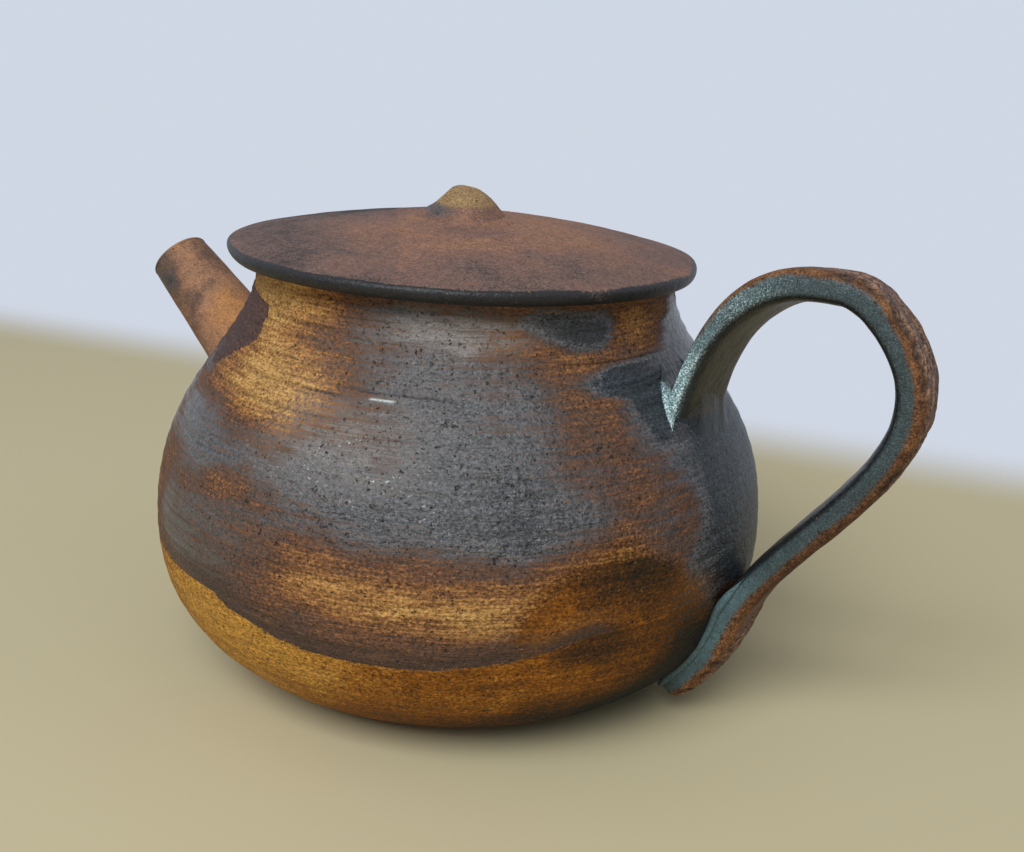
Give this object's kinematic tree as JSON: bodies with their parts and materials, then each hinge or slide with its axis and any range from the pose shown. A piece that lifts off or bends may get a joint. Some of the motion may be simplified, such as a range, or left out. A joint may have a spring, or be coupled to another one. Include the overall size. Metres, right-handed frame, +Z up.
{
  "type": "teapot",
  "caption": "Round-bellied unglazed stoneware teapot with a straight spout, a strap handle and a lift-off lid that overhangs the neck.",
  "frame": {"origin": "centre of the flat foot, on the surface that the pot stands on", "axes": "+Z up along the pot's axis, +X toward the handle, -X toward the spout"},
  "size_m": [0.214, 0.149, 0.1174],
  "materials": {
    "flashed_clay": "satin, wood-fired, ochre to charcoal",
    "spout_clay": "satin, wood-fired, brown",
    "slate_clay": "satin, wood-fired, slate grey with orange edges",
    "lid_clay": "matte, wood-fired, red-brown",
    "knob_clay": "matte, wood-fired, ochre"
  },
  "bodies": {
    "pot": {"pot": "flashed_clay", "spout": "spout_clay", "handle": "slate_clay", "handle_root_coil": "slate_clay", "handle_tail_coil": "slate_clay"},
    "lid": {"lid_plate": "lid_clay", "lid_flange": "lid_clay", "knob": "knob_clay"}
  },
  "joints": [
    {"name": "lid_lift", "type": "slide", "parent": "pot", "child": "lid", "axis": [0, 0, 1], "range_m": [0, 0.05]}
  ]
}
